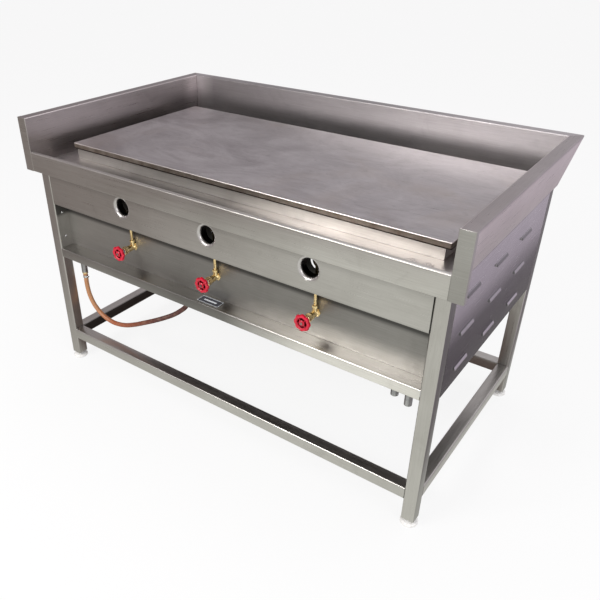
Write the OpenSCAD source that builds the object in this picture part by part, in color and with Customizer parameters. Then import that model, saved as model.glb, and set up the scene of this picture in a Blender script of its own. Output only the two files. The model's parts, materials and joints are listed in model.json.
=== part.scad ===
/* [Overall size] */
// length over the two splash walls, along X
overall_w = 1470; // [1200:5:1800]
// depth from the apron face to the rear splash edge, along Y
overall_d = 836; // [700:2:1000]
// height from the floor to the top of the splash walls
overall_h = 900; // [800:5:1000]

/* [Stand] */
// length over the outsides of the legs
stand_w = 1400; // [1150:5:1700]
// depth over the outsides of the legs
stand_d = 750; // [600:5:900]
// distance the front legs stand behind the apron face
stand_setback = 27; // [10:1:60]
// outside size of the square leg and stretcher tube
tube = 38; // [25:1:50]
// wall of the square tube
tube_wall = 1.5; // [1:0.25:3]
// underside height of the low stretchers
stretcher_z = 92; // [60:2:250]
// height of the foot under the leg
foot_h = 22; // [15:1:40]
// diameter of the round foot
foot_d = 50; // [35:1:70]

/* [Tray and splash walls] */
// thickness of the stainless sheet
sheet = 1.5; // [1:0.25:2.5]
// width of the flat top of the splash walls
splash_flange = 35; // [20:1:60]
// height of the front rim above the floor
rim_z = 794; // [750:1:840]
// underside of the apron above the floor
apron_z = 732; // [690:1:760]
// top of the tray floor above the floor
tray_z = 756; // [740:1:780]
// height of the seam between flared skirt and side panel
skirt_z = 752; // [735:1:770]

/* [Griddle plate] */
// length of the cooking plate
plate_w = 1280; // [1000:5:1380]
// sideways offset of the plate from the middle of the tray
plate_shift = 10; // [-20:1:20]
// depth of the cooking plate
plate_d = 590; // [450:5:700]
// thickness of the cooking plate
plate_t = 18; // [10:1:25]
// height of the cooking surface above the floor
plate_z = 809; // [790:1:830]
// front edge of the plate behind the apron face
plate_front = 118; // [80:1:160]

/* [Front panels] */
// height of the lower edge of the sight panel
sight_z = 621; // [580:1:660]
// height of the sight holes
hole_z = 686; // [660:1:700]
// diameter of the sight holes
hole_d = 51; // [40:1:65]
// outside diameter of the pressed rim round a sight hole
hole_rim_d = 68; // [60:1:80]
// spacing of the three burners
burner_pitch = 333; // [280:1:420]
// top of the front ledge
ledge_z = 459; // [430:1:490]
// height of the ledge's front face
ledge_h = 32; // [20:1:45]
// depth of the ledge and of the recessed panel
recess = 50; // [35:1:70]

/* [Gas controls] */
// height of the gas valves
valve_z = 537; // [500:1:560]
// spacing of the three valves
valve_pitch = 340; // [280:1:420]
// sideways offset of the valves from the middle of the body
valve_shift = -8; // [-40:1:40]
// diameter of the handwheels
knob_d = 50; // [35:1:55]
// thickness of the handwheels
knob_t = 13; // [8:1:20]
// diameter of the valve spindles
spindle_d = 8; // [6:0.5:10]
// radial clearance of a turning fit
run_gap = 0.05; // [0.02:0.01:0.1]
// outside diameter of the gas pipes
pipe_d = 21.3; // [17:0.1:27]

/* [Hose] */
// outside diameter of the gas hose
hose_d = 16; // [12:0.5:20]

/* [Hidden] */

$fn = 48;
eps = 0.01;

half_w = overall_w / 2;
half_d = overall_d / 2;
leg_x = stand_w / 2;
leg_y0 = -half_d + stand_setback;
leg_y1 = leg_y0 + stand_d;
leg_in_x = leg_x - tube;
wall_x = half_w - splash_flange;
rear_in_y = half_d - splash_flange;
leg_top_z = tray_z - sheet;
panel_y = leg_y0 + recess;
ledge_under_z = ledge_z - ledge_h;
body_z = ledge_under_z + 3;

rail = 25;
rail_wall = 1.5;
cross_rail_y = -240;
rail_z = body_z;
top_rail_z = leg_top_z - rail;

plate_x0 = plate_shift - plate_w / 2;
plate_y0 = -half_d + plate_front;
plate_under_z = plate_z - plate_t;
frame_inset = 12;
frame_t = 3;
frame_w = plate_w - 18;
frame_x0 = plate_x0 + 1;

burner_x = [-burner_pitch, 0, burner_pitch];
valve_x = [for (i = [-1:1]) i * valve_pitch + valve_shift];

tab_rise = overall_h - rim_z;
rim_fold = 12;
return_d = 14;

louvre_len = 80;
louvre_h = 10;
louvre_out = 5;
louvre_z = [480, 583, 686];
louvre_y = [-250, -55, 140];

pipe_wall = 2.65;
manifold_y = panel_y + 29;
drop_x = -640;
drop_y = panel_y + 15;
drop_z = 350;
valve_hole_d = 18;

drain_x = [572, 612];
drain_y = panel_y + 15;

supply_x = -205;
supply_y = -262;
supply_z = 402;
supply_drop_z = 386;
nipple_d = 12;

// hose route, from the drop pipe nipple to the supply pipe nipple
hose_path = [
  [-640, -326, 344], [-640, -326, 322], [-640, -326, 297], [-634, -326, 259],
  [-614, -326, 221], [-577, -325, 191], [-526, -324, 178], [-470, -323, 186],
  [-417, -322, 207], [-366, -321, 233], [-320, -315, 256], [-284, -300, 273],
  [-255, -286, 289], [-233, -276, 306], [-217, -268, 322], [-208, -264, 339],
  [-205, -262, 356], [-205, -262, 368], [-205, -262, 380]
];

stainless = [0.62, 0.60, 0.59];
dark_stainless = [0.50, 0.48, 0.49];
plate_steel = [0.52, 0.50, 0.50];
brass_col = [0.78, 0.62, 0.33];
chrome_col = [0.80, 0.80, 0.82];
red_col = [0.72, 0.06, 0.14];
iron_col = [0.20, 0.20, 0.21];
galv_col = [0.60, 0.60, 0.60];
white_col = [0.90, 0.90, 0.88];
hose_col = [0.62, 0.30, 0.16];
black_col = [0.10, 0.10, 0.12];

// hollow square tube along Z
module tube_z(s, t, h) {
  linear_extrude(h)
    difference() {
      square([s, s]);
      translate([t, t]) square([s - 2 * t, s - 2 * t]);
    }
}

// hollow square tube along X, lower front left corner at the origin
module tube_x(s, t, l) {
  translate([0, 0, s])
    rotate([0, 90, 0])
      tube_z(s, t, l);
}

// hollow square tube along Y, lower front left corner at the origin
module tube_y(s, t, l) {
  translate([0, 0, s])
    rotate([-90, 0, 0])
      tube_z(s, t, l);
}

// straight round pipe from a point, along a chosen axis
module pipe(p, dir, l, od, id) {
  translate(p)
    rotate(dir == "x" ? [0, 90, 0] : dir == "y" ? [-90, 0, 0] : [0, 0, 0])
      difference() {
        cylinder(d = od, h = l);
        if (id > 0)
          translate([0, 0, -1]) cylinder(d = id, h = l + 2);
      }
}

// solid round bar from a point, along a chosen axis
module bar(p, dir, l, od) {
  pipe(p, dir, l, od, 0);
}

// hexagonal bar along Y, given across flats
module hex_y(p, l, af) {
  translate(p)
    rotate([-90, 0, 0])
      cylinder(d = af / cos(30), h = l, $fn = 6);
}

// ---------- stand ----------

module leg_at(x, y) {
  color(stainless)
    translate([x, y, foot_h])
      tube_z(tube, tube_wall, leg_top_z - foot_h);
}

module leg_front_left() {
  leg_at(-leg_x, leg_y0);
}

module leg_front_right() {
  leg_at(leg_in_x, leg_y0);
}

module leg_rear_left() {
  leg_at(-leg_x, leg_y1 - tube);
}

module leg_rear_right() {
  leg_at(leg_in_x, leg_y1 - tube);
}

module stretcher_front() {
  color(stainless)
    translate([-leg_in_x, leg_y0, stretcher_z])
      tube_x(tube, tube_wall, 2 * leg_in_x);
}

module stretcher_rear() {
  color(stainless)
    translate([-leg_in_x, leg_y1 - tube, stretcher_z])
      tube_x(tube, tube_wall, 2 * leg_in_x);
}

module stretcher_left() {
  color(stainless)
    translate([-leg_x, leg_y0 + tube, stretcher_z])
      tube_y(tube, tube_wall, stand_d - 2 * tube);
}

module stretcher_right() {
  color(stainless)
    translate([leg_in_x, leg_y0 + tube, stretcher_z])
      tube_y(tube, tube_wall, stand_d - 2 * tube);
}

foot_centres = [
  [-leg_x + tube / 2, leg_y0 + tube / 2],
  [leg_x - tube / 2, leg_y0 + tube / 2],
  [-leg_x + tube / 2, leg_y1 - tube / 2],
  [leg_x - tube / 2, leg_y1 - tube / 2]
];
plug_h = 24;
stud_d = 10;

// threaded inserts pressed into the leg ends
module leg_plugs() {
  side = tube - 2 * tube_wall;
  color(black_col)
    for (c = foot_centres)
      translate([c[0], c[1], foot_h])
        difference() {
          translate([-side / 2, -side / 2, 0]) cube([side, side, plug_h]);
          translate([0, 0, -1]) cylinder(d = stud_d + 2 * run_gap, h = plug_h + 2);
        }
}

// round levelling foot with its stud
module foot(i) {
  pad = 11;
  c = foot_centres[i];
  color(white_col)
    translate([c[0], c[1], 0])
      rotate_extrude()
        polygon([
          [0, 0], [foot_d / 2 - 2, 0], [foot_d / 2, 2], [foot_d / 2, pad - 4],
          [foot_d / 2 - 3, pad], [12, pad + 4], [10, foot_h], [stud_d / 2, foot_h],
          [stud_d / 2, foot_h + plug_h + 12], [0, foot_h + plug_h + 12]
        ]);
}

module foot_front_left() {
  foot(0);
}

module foot_front_right() {
  foot(1);
}

module foot_rear_left() {
  foot(2);
}

module foot_rear_right() {
  foot(3);
}

// ---------- body frame ----------

// folded ledge under the valves, with a rolled-down rear edge
module ledge_rail() {
  depth = recess + sheet;
  color(stainless)
    translate([-leg_in_x, leg_y0, 0])
      rotate([90, 0, 90])
        linear_extrude(2 * leg_in_x)
          polygon([
            [0, ledge_under_z], [return_d, ledge_under_z], [return_d, ledge_under_z + sheet],
            [sheet, ledge_under_z + sheet], [sheet, ledge_z - sheet],
            [depth - sheet, ledge_z - sheet], [depth - sheet, ledge_under_z],
            [depth, ledge_under_z], [depth, ledge_z], [0, ledge_z]
          ]);
}

module body_rail_left() {
  color(stainless)
    translate([-leg_x + sheet, leg_y0 + tube, rail_z])
      tube_y(rail, rail_wall, stand_d - 2 * tube);
}

module body_rail_right() {
  color(stainless)
    translate([leg_x - sheet - rail, leg_y0 + tube, rail_z])
      tube_y(rail, rail_wall, stand_d - 2 * tube);
}

module body_rail_rear() {
  color(stainless)
    translate([-leg_in_x, leg_y1 - sheet - rail, rail_z])
      tube_x(rail, rail_wall, 2 * leg_in_x);
}

// tube across the body behind the ledge, between the side rails
module cross_rail() {
  span = 2 * (leg_x - sheet - rail);
  color(stainless)
    translate([-span / 2, cross_rail_y, rail_z])
      tube_x(rail, rail_wall, span);
}

// tubes between front and rear legs under the tray
module top_rails() {
  color(stainless)
    for (x = [-leg_x + sheet, leg_x - sheet - rail])
      translate([x, leg_y0 + tube, top_rail_z])
        tube_y(rail, rail_wall, stand_d - 2 * tube);
}

// tubes across the body under the plate frame
module bearers() {
  span = 2 * (leg_x - sheet - rail);
  color(stainless)
    for (y = [plate_y0 + frame_inset - 8, plate_y0 + plate_d - frame_inset - rail + 8])
      translate([-span / 2, y, top_rail_z])
        tube_x(rail, rail_wall, span);
}

// ---------- panels ----------

// pressed louvre hood along Y, standing out along +X from the panel face
module louvre_hood() {
  t = 1.2;
  rotate([90, 0, 0])
    translate([0, 0, -louvre_len / 2])
      linear_extrude(louvre_len)
        polygon([
          [0, louvre_h / 2], [0, louvre_h / 2 - t], [louvre_out - t, -louvre_h / 2 + 3],
          [louvre_out - t, -louvre_h / 2], [louvre_out, -louvre_h / 2],
          [louvre_out, -louvre_h / 2 + 3.5], [t, louvre_h / 2]
        ]);
  for (s = [-1, 1])
    translate([0, s * (louvre_len / 2 - t / 2), 0])
      rotate([90, 0, 0])
        translate([0, 0, -t / 2])
          linear_extrude(t)
            polygon([
              [0, louvre_h / 2], [0, -louvre_h / 2], [louvre_out, -louvre_h / 2],
              [louvre_out, -louvre_h / 2 + 3]
            ]);
}

// right-hand side panel with its louvres
module side_panel() {
  y0 = leg_y0 + tube;
  l = stand_d - 2 * tube;
  difference() {
    translate([leg_x - sheet, y0, body_z]) cube([sheet, l, top_rail_z + rail - body_z]);
    for (y = louvre_y)
      for (z = louvre_z)
        translate([leg_x - sheet - 1, y - louvre_len / 2 + 1.2, z - louvre_h / 2 + 1])
          cube([sheet + 2, louvre_len - 2.4, louvre_h - 3]);
  }
  for (y = louvre_y)
    for (z = louvre_z)
      translate([leg_x - eps, y, z]) louvre_hood();
}

module side_panel_left() {
  color(stainless)
    mirror([1, 0, 0]) side_panel();
}

module side_panel_right() {
  color(stainless) side_panel();
}

module rear_panel() {
  color(stainless)
    translate([-leg_in_x, leg_y1 - sheet, body_z])
      cube([2 * leg_in_x, sheet, leg_top_z - body_z]);
}

// panel between the front legs with the three sight holes
module sight_panel() {
  gap = 2;
  w = 2 * (leg_in_x - gap);
  color(stainless)
    difference() {
      translate([-w / 2, leg_y0, 0])
        rotate([90, 0, 90])
          linear_extrude(w)
            polygon([
              [0, sight_z], [return_d, sight_z], [return_d, sight_z + sheet],
              [sheet, sight_z + sheet], [sheet, apron_z], [0, apron_z]
            ]);
      for (x = burner_x)
        bar([x, leg_y0 - 1, hole_z], "y", sheet + 2, hole_rim_d);
    }
}

// recessed panel that carries the valves, with burner openings and cheeks against the legs
module valve_panel() {
  top_z = 722;
  air_hole_d = 52;
  cheek = recess - 4;
  x1 = leg_in_x;
  color(stainless)
    difference() {
      union() {
        translate([-x1, panel_y, ledge_z]) cube([2 * x1, sheet, top_z - ledge_z]);
        translate([-x1, panel_y, top_z - sheet]) cube([2 * x1, return_d, sheet]);
        for (x = [-x1, x1 - sheet])
          translate([x, panel_y - cheek, ledge_z]) cube([sheet, cheek + eps, top_z - ledge_z]);
      }
      for (x = valve_x)
        bar([x, panel_y - 1, valve_z], "y", sheet + 2, valve_hole_d);
      for (x = burner_x)
        bar([x, panel_y - 1, hole_z], "y", sheet + 2, air_hole_d);
      for (x = drain_x)
        bar([x, drain_y, top_z - sheet - 1], "z", sheet + 2, pipe_d + 1);
    }
}

// pressed rims of the sight holes, drawn back into short sleeves
module sight_collars() {
  rim = hole_rim_d / 2;
  bore = hole_d / 2;
  len = 30;
  color(dark_stainless)
    for (x = burner_x)
      translate([x, leg_y0, hole_z])
        rotate([-90, 0, 0])
          rotate_extrude()
            polygon([
              [rim, 0], [rim - 3.5, 1], [bore + 2.3, 3.5], [bore + 0.5, 7], [bore, 11],
              [bore, len], [bore + sheet, len], [bore + sheet, 11.3], [bore + 1.9, 7.6],
              [bore + 3.5, 4.6], [rim - 2.8, 2.4], [rim, sheet]
            ]);
}

// domed screws that hold the panel cheeks to the legs
module panel_screws() {
  dome = 3;
  color(chrome_col)
    for (s = [-1, 1])
      for (z = [498, 584])
        translate([s * (leg_in_x - sheet), leg_y0 + 26, z])
          rotate([0, -90 * s, 0])
            cylinder(d1 = 9, d2 = 5, h = dome);
}

// thin label plate lying on the ledge
module nameplate() {
  color(black_col)
    translate([-57, leg_y0 + 10, ledge_z])
      cube([78, 32, 1]);
}

// ---------- tray ----------

// front apron: face, rim fold, under fold and the two end tabs
module apron() {
  y0 = -half_d;
  under = stand_setback;
  color(stainless) {
    translate([-half_w, y0, apron_z]) cube([overall_w, sheet, rim_z - apron_z]);
    translate([-wall_x + sheet, y0, rim_z - sheet])
      cube([2 * (wall_x - sheet), rim_fold, sheet]);
    translate([-half_w, y0, apron_z]) cube([overall_w, under, sheet]);
    for (s = [0, 1])
      mirror([s, 0, 0]) {
        translate([wall_x - sheet, y0, rim_z - eps])
          cube([splash_flange + sheet, sheet, tab_rise + eps]);
        translate([half_w - sheet, y0, apron_z])
          cube([sheet, return_d, skirt_z + 90 - apron_z]);
      }
  }
}

// floor of the tray with the burner opening and the drain holes
module tray_floor() {
  y0 = -half_d + sheet;
  opening = frame_inset + frame_t + 12;
  color(dark_stainless)
    difference() {
      translate([-wall_x + sheet, y0, tray_z - sheet])
        cube([2 * (wall_x - sheet), rear_in_y - y0, sheet]);
      translate([plate_x0 + opening, plate_y0 + opening, tray_z - sheet - 1])
        cube([plate_w - 2 * opening, plate_d - 2 * opening, sheet + 2]);
      for (x = drain_x)
        bar([x, drain_y, tray_z - sheet - 1], "z", sheet + 2, pipe_d - 2 * pipe_wall);
    }
}

skirt_x = leg_x + sheet;
skirt_y = rear_in_y + 2 * sheet;

// prism along X, cut to the slope of the rear skirt
module rear_slope(y0, x0, x1) {
  translate([x0, 0, 0])
    rotate([90, 0, 90])
      linear_extrude(x1 - x0)
        polygon([[y0, skirt_z], [skirt_y, skirt_z], [half_d, overall_h], [y0, overall_h]]);
}

// right-hand splash wall: inner sheet, flat top and flared skirt
module splash_side() {
  y0 = -half_d + sheet;
  translate([wall_x - sheet, y0, tray_z - sheet])
    cube([sheet, rear_in_y - y0, overall_h - tray_z + sheet]);
  translate([0, 0, overall_h - sheet])
    linear_extrude(sheet)
      polygon([
        [wall_x - sheet, y0], [half_w, y0], [half_w, half_d], [wall_x - sheet, rear_in_y]
      ]);
  intersection() {
    translate([0, half_d, 0])
      rotate([90, 0, 0])
        linear_extrude(half_d - y0)
          polygon([
            [half_w - sheet, overall_h], [half_w, overall_h],
            [skirt_x, skirt_z], [skirt_x - sheet, skirt_z]
          ]);
    rear_slope(y0, wall_x - sheet, half_w + 1);
  }
}

module splash_left() {
  color(stainless)
    mirror([1, 0, 0]) splash_side();
}

module splash_right() {
  color(stainless) splash_side();
}

// rear splash wall between the mitres
module splash_rear() {
  x1 = wall_x - sheet;
  in = 2 * sheet;
  color(stainless) {
    translate([-x1, rear_in_y, tray_z - sheet])
      cube([2 * x1, sheet, overall_h - tray_z + sheet]);
    translate([0, 0, overall_h - sheet])
      linear_extrude(sheet)
        polygon([
          [-x1, rear_in_y], [x1, rear_in_y], [half_w - in, half_d], [-half_w + in, half_d]
        ]);
    intersection() {
      translate([-half_w, 0, 0])
        rotate([90, 0, 90])
          linear_extrude(overall_w)
            polygon([
              [half_d - sheet, overall_h], [half_d, overall_h],
              [skirt_y, skirt_z], [skirt_y - sheet, skirt_z]
            ]);
      translate([0, half_d + 1, 0])
        rotate([90, 0, 0])
          linear_extrude(2 * splash_flange)
            polygon([
              [-half_w + in, overall_h], [half_w - in, overall_h],
              [skirt_x - in, skirt_z], [-skirt_x + in, skirt_z]
            ]);
    }
    translate([-x1, leg_y1, skirt_z])
      cube([2 * x1, skirt_y - sheet / 2 - leg_y1, sheet]);
  }
}

// upright frame that carries the plate
module plate_frame() {
  w = frame_w;
  d = plate_d - 2 * frame_inset;
  color(stainless)
    translate([frame_x0, plate_y0 + frame_inset, tray_z])
      difference() {
        cube([w, d, plate_under_z - tray_z]);
        translate([frame_t, frame_t, -1])
          cube([w - 2 * frame_t, d - 2 * frame_t, plate_under_z - tray_z + 2]);
      }
}

module griddle_plate() {
  color(plate_steel)
    translate([plate_x0, plate_y0, plate_under_z])
      cube([plate_w, plate_d, plate_t]);
}

// ---------- burners ----------

mix_d = 44;
mix_y0 = panel_y + 4;
mix_len = 110;
head_y0 = mix_y0 + mix_len;
arm_d = 30;
arm_len = 340;
arm_x = 70;

// twin-arm cast burner with mixing tube and top ports
module burner(x) {
  color(iron_col)
    translate([x, 0, hole_z])
      difference() {
        union() {
          bar([0, mix_y0, 0], "y", mix_len + 10, mix_d);
          bar([-arm_x - arm_d / 2, head_y0 + 10, 0], "x", 2 * arm_x + arm_d, arm_d);
          for (s = [-1, 1]) {
            bar([s * arm_x, head_y0 + 10, 0], "y", arm_len, arm_d);
            translate([s * arm_x - 5, head_y0 + 14, 0])
              cube([10, arm_len - 8, arm_d / 2 + 3]);
          }
        }
        bar([0, mix_y0 - 1, 0], "y", mix_len, mix_d - 8);
        for (a = [0, 180])
          rotate([0, a, 0])
            translate([0, mix_y0 + 8, 0])
              cube([mix_d, 14, 14]);
        for (s = [-1, 1])
          for (i = [0:15])
            bar([s * arm_x, head_y0 + 28 + i * 20, arm_d / 2 - 6], "z", 12, 4);
      }
}

module burner_left() {
  burner(burner_x[0]);
}

module burner_centre() {
  burner(burner_x[1]);
}

module burner_right() {
  burner(burner_x[2]);
}

// strips that hang from the top rails and carry the burner arms
module burner_hangers() {
  w = 30;
  t = 3;
  x1 = leg_x - sheet - rail;
  z0 = hole_z - arm_d / 2 - t;
  color(dark_stainless)
    for (y = [head_y0 + 60, head_y0 + 270]) {
      translate([-x1, y, z0]) cube([2 * x1, w, t]);
      for (x = [-x1, x1 - t])
        translate([x, y, z0]) cube([t, w, top_rail_z + rail - z0]);
    }
}

// turning air shutter on the mouth of the mixing tube
module shutter(x) {
  od = mix_d + 2 * run_gap + 4;
  id = mix_d + 2 * run_gap;
  len = 28;
  color(dark_stainless)
    translate([x, mix_y0 + 1, hole_z])
      difference() {
        union() {
          pipe([0, 0, 0], "y", len, od, id);
          translate([-3, 0, od / 2 - 1]) cube([6, 10, 9]);
        }
        for (a = [0, 180])
          rotate([0, a, 0])
            translate([0, 7, 0])
              cube([od, 14, 14]);
      }
}

module shutter_left() {
  shutter(burner_x[0]);
}

module shutter_centre() {
  shutter(burner_x[1]);
}

module shutter_right() {
  shutter(burner_x[2]);
}

// ---------- gas train ----------

body_y0 = panel_y - 46;
riser_y = panel_y - 8;

// brass nozzle blocks at the top of the risers
module gas_jets() {
  color(brass_col)
    for (i = [0:2]) {
      x = burner_x[i];
      xr = valve_x[i];
      bar([min(x, xr) - 7, riser_y, hole_z], "x", abs(x - xr) + 14, 12);
      translate([x, riser_y, hole_z])
        rotate([-90, 0, 0]) {
          cylinder(d = 10, h = 13);
          translate([0, 0, 13]) cylinder(d1 = 10, d2 = 5, h = 6);
        }
    }
}

// square-shouldered brass valve bodies with inlet shank and riser
module valve_bodies() {
  bore = spindle_d + 2 * run_gap;
  color(brass_col)
    for (x = valve_x)
      difference() {
        union() {
          bar([x, body_y0, valve_z], "y", -body_y0 + panel_y, 20);
          hex_y([x, panel_y - 3, valve_z], 3, 24);
          hex_y([x, body_y0, valve_z], 14, 22);
          bar([x, panel_y - 1, valve_z], "y", manifold_y - panel_y - pipe_d / 2 + 3, 14);
          bar([x, riser_y, valve_z], "z", hole_z - valve_z - 5, 9);
          bar([x, riser_y, valve_z], "z", 24, 14);
        }
        bar([x, body_y0 - 1, valve_z], "y", 16, bore);
        bar([x, riser_y, hole_z], "y", 12, 12);
        bar([x - 10, riser_y, hole_z], "x", 20, 12);
      }
}

gland_len = 9;

// plated gland nuts at the front of the valve bodies
module gland_nuts() {
  color(chrome_col)
    for (x = valve_x)
      difference() {
        hex_y([x, body_y0 - gland_len, valve_z], gland_len, 17);
        bar([x, body_y0 - gland_len - 1, valve_z], "y", gland_len + 2, spindle_d + 2 * run_gap);
      }
}

knob_y0 = body_y0 - gland_len - knob_t - 5;

module spindle(x) {
  stub = 3;
  color(brass_col) {
    bar([x, knob_y0 - stub, valve_z], "y", body_y0 + 13 - knob_y0 + stub, spindle_d);
    hex_y([x, knob_y0 - stub + 1, valve_z], stub - 1, 12);
  }
}

module spindle_left() {
  spindle(valve_x[0]);
}

module spindle_centre() {
  spindle(valve_x[1]);
}

module spindle_right() {
  spindle(valve_x[2]);
}

// scalloped handwheel
module knob(x) {
  lobes = 8;
  color(red_col)
    translate([x, knob_y0, valve_z])
      rotate([-90, 0, 0])
        difference() {
          union() {
            cylinder(d = knob_d, h = knob_t - 3);
            cylinder(d = 18, h = knob_t);
          }
          for (i = [0:lobes - 1])
            rotate(i * 360 / lobes)
              translate([knob_d / 2 + 2.5, 0, -1])
                cylinder(d = 12, h = knob_t);
          translate([0, 0, -1])
            difference() {
              cylinder(d = 30, h = 4);
              cylinder(d = 18, h = 4);
            }
          translate([0, 0, -1]) cylinder(d = spindle_d, h = knob_t + 2);
        }
}

module knob_left() {
  knob(valve_x[0]);
}

module knob_centre() {
  knob(valve_x[1]);
}

module knob_right() {
  knob(valve_x[2]);
}

// gas manifold behind the valve panel, with its drop pipe at the left
module manifold() {
  x1 = valve_x[2] + 40;
  step = manifold_y - drop_y;
  color(galv_col)
    difference() {
      union() {
        bar([drop_x, manifold_y, valve_z], "x", x1 - drop_x, pipe_d);
        bar([x1, manifold_y, valve_z], "x", 14, pipe_d + 6);
        bar([drop_x, drop_y, valve_z], "y", step, pipe_d);
        translate([drop_x, manifold_y, valve_z]) sphere(d = pipe_d + 6);
        translate([drop_x, drop_y, valve_z]) sphere(d = pipe_d + 4);
        bar([drop_x, drop_y, drop_z], "z", valve_z - drop_z, pipe_d);
      }
      for (x = valve_x)
        bar([x, manifold_y - pipe_d, valve_z], "y", pipe_d - pipe_d / 2 + 3, 14);
      bar([drop_x, drop_y, drop_z - 1], "z", 20, nipple_d);
    }
}

// saddles that tie the manifold to the back of the valve panel
module manifold_saddles() {
  w = 22;
  t = 3;
  reach = manifold_y - panel_y - sheet;
  color(dark_stainless)
    for (x = [-520, -190, 130])
      difference() {
        union() {
          bar([x, manifold_y, valve_z], "x", w, pipe_d + 2 * t);
          translate([x, panel_y + sheet, valve_z - pipe_d / 2 - t])
            cube([w, reach, pipe_d + 2 * t]);
        }
        bar([x - 1, manifold_y, valve_z], "x", w + 2, pipe_d);
      }
}

// fixed supply pipe under the body, running to the back
module supply_pipe() {
  y1 = leg_y1 + 20;
  color(galv_col)
    difference() {
      union() {
        bar([supply_x, supply_y, supply_z], "y", y1 - supply_y, pipe_d);
        translate([supply_x, supply_y, supply_z]) sphere(d = pipe_d + 6);
        bar([supply_x, supply_y, supply_drop_z], "z", supply_z - supply_drop_z, pipe_d);
        bar([supply_x, y1 - 22, supply_z], "y", 22, pipe_d + 6);
      }
      bar([supply_x, supply_y, supply_drop_z - 1], "z", 16, nipple_d);
      bar([supply_x, y1 - 20, supply_z], "y", 21, 15);
    }
}

// clips that hang the supply pipe from the cross rail and the rear rail
module pipe_clips() {
  w = 18;
  t = 3;
  od = pipe_d + 2 * t;
  color(dark_stainless)
    for (y = [cross_rail_y + 4, leg_y1 - sheet - rail + 3])
      difference() {
        union() {
          bar([supply_x, y, supply_z], "y", w, od);
          translate([supply_x - od / 2, y, supply_z]) cube([od, w, rail_z - supply_z]);
        }
        bar([supply_x, y - 1, supply_z], "y", w + 2, pipe_d);
      }
}

// brass hose nipples screwed into the pipe ends
module hose_nipples() {
  color(brass_col)
    for (n = [[drop_x, drop_y, drop_z, 19], [supply_x, supply_y, supply_drop_z, 13]]) {
      translate([n[0], n[1], n[2] - 6]) cylinder(d = 18 / cos(30), h = 6, $fn = 6);
      bar([n[0], n[1], n[2]], "z", n[3] - 1, nipple_d);
    }
}

// band clamps around the hose ends
module hose_clamps() {
  w = 9;
  t = 1;
  color(chrome_col)
    for (n = [[drop_x, drop_y, drop_z - 22], [supply_x, supply_y, supply_drop_z - 22]]) {
      pipe([n[0], n[1], n[2]], "z", w, hose_d + 1 + 2 * t, hose_d + 0.4);
      translate([n[0] + hose_d / 2 + 1, n[1] - 3, n[2] + 1]) cube([9, 6, w - 2]);
    }
}

// point on a smooth curve through four route points
function curve(a, b, c, d, t) =
  0.5 * (2 * b + (c - a) * t + (2 * a - 5 * b + 4 * c - d) * t * t
  + (3 * b - a - 3 * c + d) * t * t * t);

function route_point(p, i) = p[max(0, min(len(p) - 1, i))];

function smooth(p, n) = [
  for (i = [0:len(p) - 2])
    for (k = [0:n - 1])
      curve(route_point(p, i - 1), p[i], p[i + 1], route_point(p, i + 2), k / n),
  p[len(p) - 1]
];

function unit(v) = v / norm(v);

function tangent(p, i) = unit(p[min(i + 1, len(p) - 1)] - p[max(i - 1, 0)]);

// ring of points around the curve; the side vector stays near Y
function ring(c, t, r, n) =
  let (s = unit([0, 1, 0] - t * t[1]), u = cross(t, s))
  [for (k = [0:n - 1]) c + r * (cos(k * 360 / n) * s + sin(k * 360 / n) * u)];

module swept_tube(route, r, sides, fine) {
  pts = smooth(route, fine);
  rings = len(pts);
  verts = [for (i = [0:rings - 1]) each ring(pts[i], tangent(pts, i), r, sides)];
  walls = [
    for (i = [0:rings - 2])
      for (k = [0:sides - 1])
        let (a = i * sides + k, b = i * sides + (k + 1) % sides)
        [a, b, b + sides, a + sides]
  ];
  ends = [
    [for (k = [sides - 1:-1:0]) k],
    [for (k = [0:sides - 1]) (rings - 1) * sides + k]
  ];
  polyhedron(points = verts, faces = concat(walls, ends), convexity = 6);
}

module gas_hose() {
  color(hose_col) swept_tube(hose_path, hose_d / 2, 12, 3);
}

// grease drains from the tray floor
module drain_pipes() {
  ends = [365, 350];
  color(galv_col)
    for (i = [0:1])
      pipe([drain_x[i], drain_y, ends[i]], "z", tray_z - sheet - ends[i], pipe_d,
           pipe_d - 2 * pipe_wall);
}

// perforated discs over the drain holes in the tray floor
module drain_strainers() {
  disc_d = 26;
  t = 1;
  color(stainless)
    for (x = drain_x)
      translate([x, drain_y, tray_z])
        difference() {
          cylinder(d = disc_d, h = t);
          for (a = [0:60:300])
            rotate(a) translate([5.5, 0, -1]) cylinder(d = 2.5, h = t + 2);
        }
}

leg_front_left();
leg_front_right();
leg_rear_left();
leg_rear_right();
stretcher_front();
stretcher_rear();
stretcher_left();
stretcher_right();
leg_plugs();
foot_front_left();
foot_front_right();
foot_rear_left();
foot_rear_right();
ledge_rail();
body_rail_left();
body_rail_right();
body_rail_rear();
cross_rail();
top_rails();
bearers();
side_panel_left();
side_panel_right();
rear_panel();
sight_panel();
valve_panel();
sight_collars();
panel_screws();
nameplate();
apron();
tray_floor();
splash_left();
splash_right();
splash_rear();
plate_frame();
griddle_plate();
burner_left();
burner_centre();
burner_right();
burner_hangers();
shutter_left();
shutter_centre();
shutter_right();
gas_jets();
manifold();
manifold_saddles();
valve_bodies();
gland_nuts();
spindle_left();
spindle_centre();
spindle_right();
knob_left();
knob_centre();
knob_right();
supply_pipe();
pipe_clips();
hose_nipples();
hose_clamps();
gas_hose();
drain_pipes();
drain_strainers();
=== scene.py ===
import json
import math

import bmesh
import bpy
from mathutils import Matrix, Vector


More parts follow.
